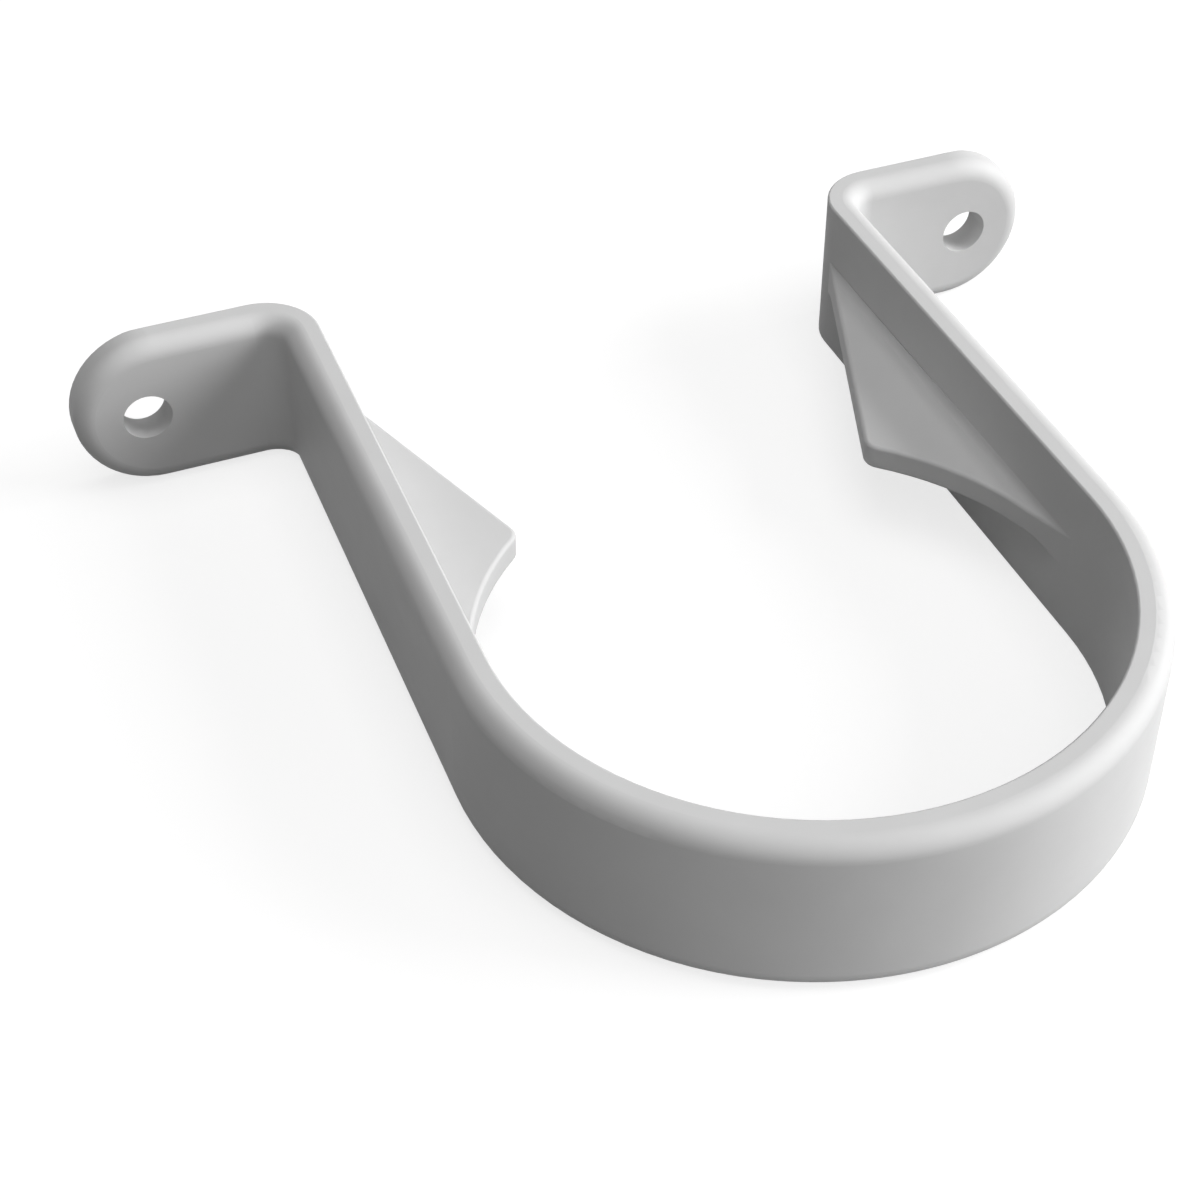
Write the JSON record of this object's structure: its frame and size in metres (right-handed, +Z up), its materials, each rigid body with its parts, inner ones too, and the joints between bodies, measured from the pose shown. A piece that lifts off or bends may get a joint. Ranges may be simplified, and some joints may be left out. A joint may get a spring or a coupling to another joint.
{
  "type": "downpipe clip",
  "caption": "Open clip that holds a round downpipe to a wall: half-round band, straight legs, round-ended ears with screw holes, and flat inner wings behind the pipe.",
  "frame": {"origin": "on the pipe's axis, level with the clip's lower edge", "axes": "+Z up along the pipe, +Y towards the wall, +X to the right as seen from the front"},
  "size_m": [0.125, 0.1069, 0.02],
  "materials": {
    "moulding": "satin light grey, plain moulded surface"
  },
  "bodies": {
    "root": {"pipe_clip": "moulding"}
  },
  "joints": []
}
